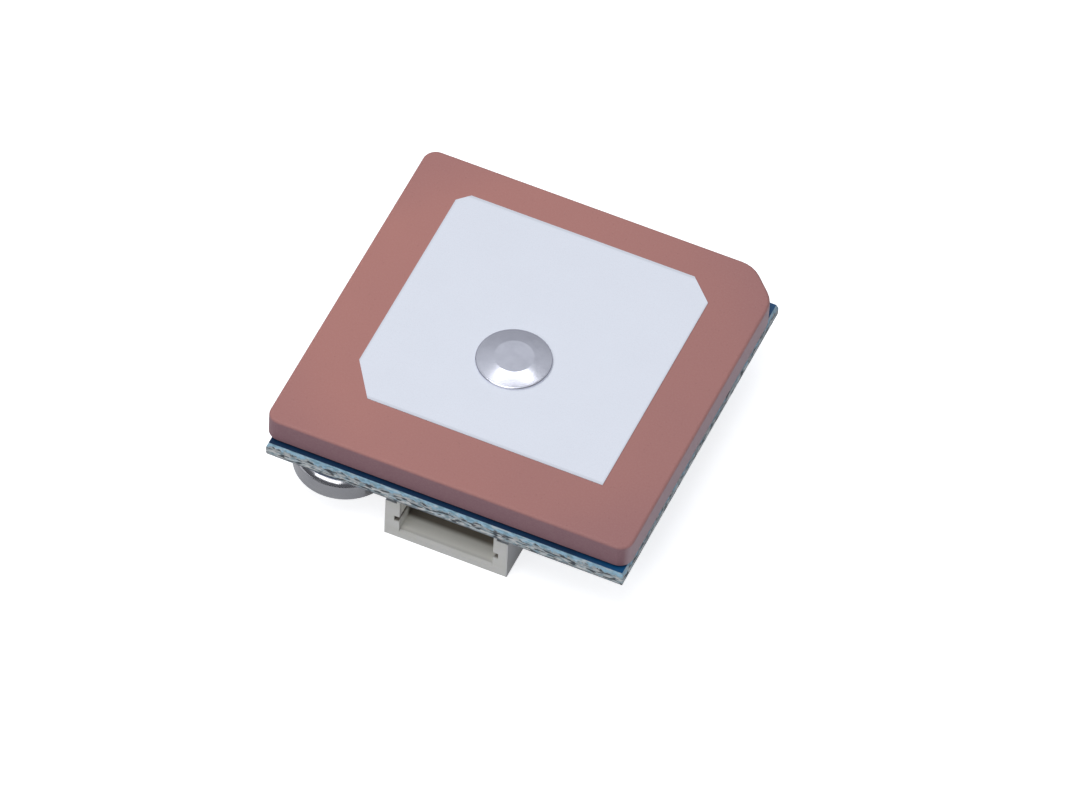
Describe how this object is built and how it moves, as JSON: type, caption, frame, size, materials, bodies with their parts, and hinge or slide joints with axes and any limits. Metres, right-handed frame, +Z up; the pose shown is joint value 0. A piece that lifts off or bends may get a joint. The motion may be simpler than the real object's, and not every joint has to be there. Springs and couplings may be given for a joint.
{
  "type": "gps module",
  "caption": "Square GPS receiver module: ceramic patch antenna with a silver electrode and feed pin on a blue board with a side-entry cable header, a coin cell and the receiver circuit.",
  "frame": {"origin": "middle of the outline in plan, at the height of the cable header's underside", "axes": "+Z up through the board towards the antenna's top, -Y the way the cable header opens, +X along the header's row of contacts"},
  "size_m": [0.018, 0.0182, 0.0054],
  "materials": {
    "ceramic": "matte",
    "silver_electrode": "matte",
    "pin_metal": "satin",
    "solder": "satin",
    "adhesive": "matte",
    "board": "satin",
    "header_plastic": "matte",
    "contact_metal": "satin",
    "tinned_metal": "satin",
    "cell_steel": "polished",
    "cell_ring": "matte",
    "chip_resin": "matte",
    "filter_ceramic": "matte",
    "base_ceramic": "matte",
    "lid_metal": "satin",
    "light_base": "satin",
    "light_lens": "gloss",
    "capacitor_ceramic": "satin",
    "resistor_glaze": "gloss",
    "inductor_ceramic": "satin"
  },
  "bodies": {
    "root": {"antenna_ceramic": "ceramic", "antenna_patch": "silver_electrode", "antenna_ground": "silver_electrode", "feed_pin": "pin_metal", "feed_solder": "solder", "adhesive_pad": "adhesive", "circuit_board": "board", "connector_housing": "header_plastic", "connector_tab_left": "tinned_metal", "connector_tab_right": "tinned_metal", "cell_can": "cell_steel", "cell_seal": "cell_ring", "cell_cap": "cell_steel", "cell_tab_positive": "tinned_metal", "cell_tab_negative": "tinned_metal", "receiver_chip": "chip_resin", "receiver_leads": "solder", "memory_chip": "chip_resin", "memory_leads": "solder", "amplifier_chip": "chip_resin", "amplifier_leads": "solder", "saw_filter": "filter_ceramic", "oscillator_base": "base_ceramic", "oscillator_lid": "lid_metal", "crystal_base": "base_ceramic", "crystal_lid": "lid_metal", "regulator_body": "chip_resin", "regulator_leads": "tinned_metal", "light_bases": "light_base", "light_lenses": "light_lens", "light_ends": "contact_metal", "capacitor_bodies": "capacitor_ceramic", "capacitor_ends": "solder", "resistor_bodies": "resistor_glaze", "resistor_ends": "solder", "inductor_bodies": "inductor_ceramic", "inductor_ends": "solder", "connector_contact_1": "contact_metal", "connector_contact_2": "contact_metal", "connector_contact_3": "contact_metal", "connector_contact_4": "contact_metal", "contact_solder": "solder", "tab_solder": "solder", "strip_solder": "solder"}
  },
  "joints": []
}
